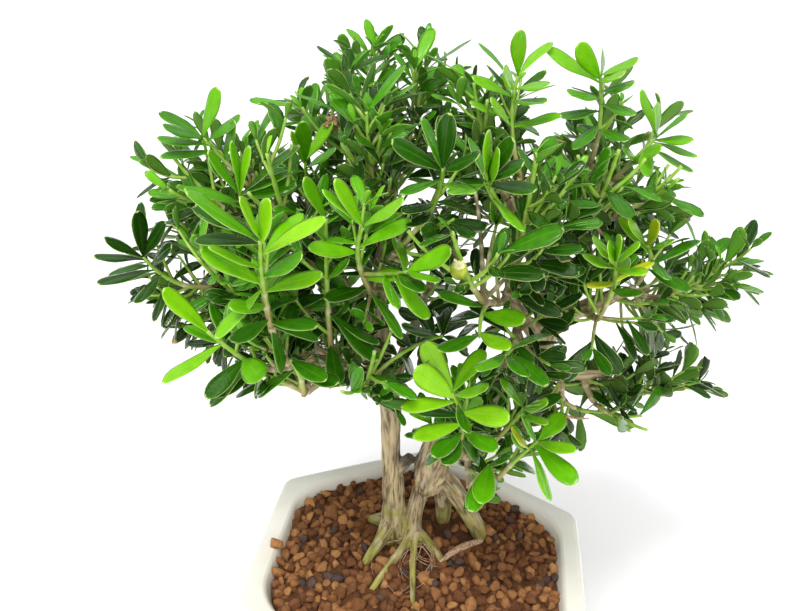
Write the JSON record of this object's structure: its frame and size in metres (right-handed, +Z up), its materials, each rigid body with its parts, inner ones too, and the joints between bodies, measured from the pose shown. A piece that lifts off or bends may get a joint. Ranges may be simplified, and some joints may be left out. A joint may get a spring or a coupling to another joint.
{
  "type": "potted boxwood",
  "caption": "Small two-trunked boxwood with spoon-shaped leaves in a hexagonal glazed pot filled with baked-clay granules; stands on the pot's foot ring.",
  "frame": {"origin": "centre of the pot's foot on the surface that it stands on", "axes": "+Z up, one corner of the hexagonal pot towards +Y, the pictured side towards -Y"},
  "size_m": [0.271, 0.2023, 0.305],
  "materials": {
    "pot_glaze": "cream white gloss glaze",
    "granules": "matte porous baked clay",
    "bark": "matte fissured bark",
    "leaf": "waxy satin leaf",
    "seed_head": "dry matte husk",
    "capsule": "waxy green capsule"
  },
  "bodies": {
    "root": {"pot": "pot_glaze", "soil": "granules", "trunks_and_branches": "bark", "front_left_shoot": "leaf", "front_left_side": "leaf", "front_left_low": "leaf", "front_left_under": "leaf", "front_mid_shoot": "leaf", "front_mid_left": "leaf", "front_mid_low": "leaf", "far_left_tip": "leaf", "far_left_low": "leaf", "far_left_back": "leaf", "far_left_up": "leaf", "far_left_front": "leaf", "top_left_peak": "leaf", "top_left_outer": "leaf", "top_left_front": "leaf", "top_left_inner": "leaf", "top_left_back": "leaf", "back_left_outer": "leaf", "back_left_low": "leaf", "back_top_peak": "leaf", "back_top_left": "leaf", "back_top_right": "leaf", "back_top_front": "leaf", "back_top_low": "leaf", "centre_left_peak": "leaf", "centre_left_front": "leaf", "centre_peak": "leaf", "centre_peak_right": "leaf", "centre_back": "leaf", "centre_front_peak": "leaf", "centre_front_tip": "leaf", "centre_front_low": "leaf", "top_right_peak": "leaf", "top_right_outer": "leaf", "top_right_front": "leaf", "top_right_side": "leaf", "mid_right_front": "leaf", "mid_right_up": "leaf", "mid_right_tip": "leaf", "low_right_tip": "leaf", "low_right_front": "leaf", "low_right_under": "leaf", "far_right_tip": "leaf", "low_front_up": "leaf", "low_front_down": "leaf", "low_front_right": "leaf", "low_front_side": "leaf", "back_right_peak": "leaf", "back_right_side": "leaf", "low_back_right": "leaf", "low_left_tip": "leaf", "low_left_back": "leaf", "mid_back_tip": "leaf", "seed_head_left": "seed_head", "seed_head_front": "seed_head", "seed_head_right": "seed_head", "seed_capsule": "capsule"}
  },
  "joints": []
}
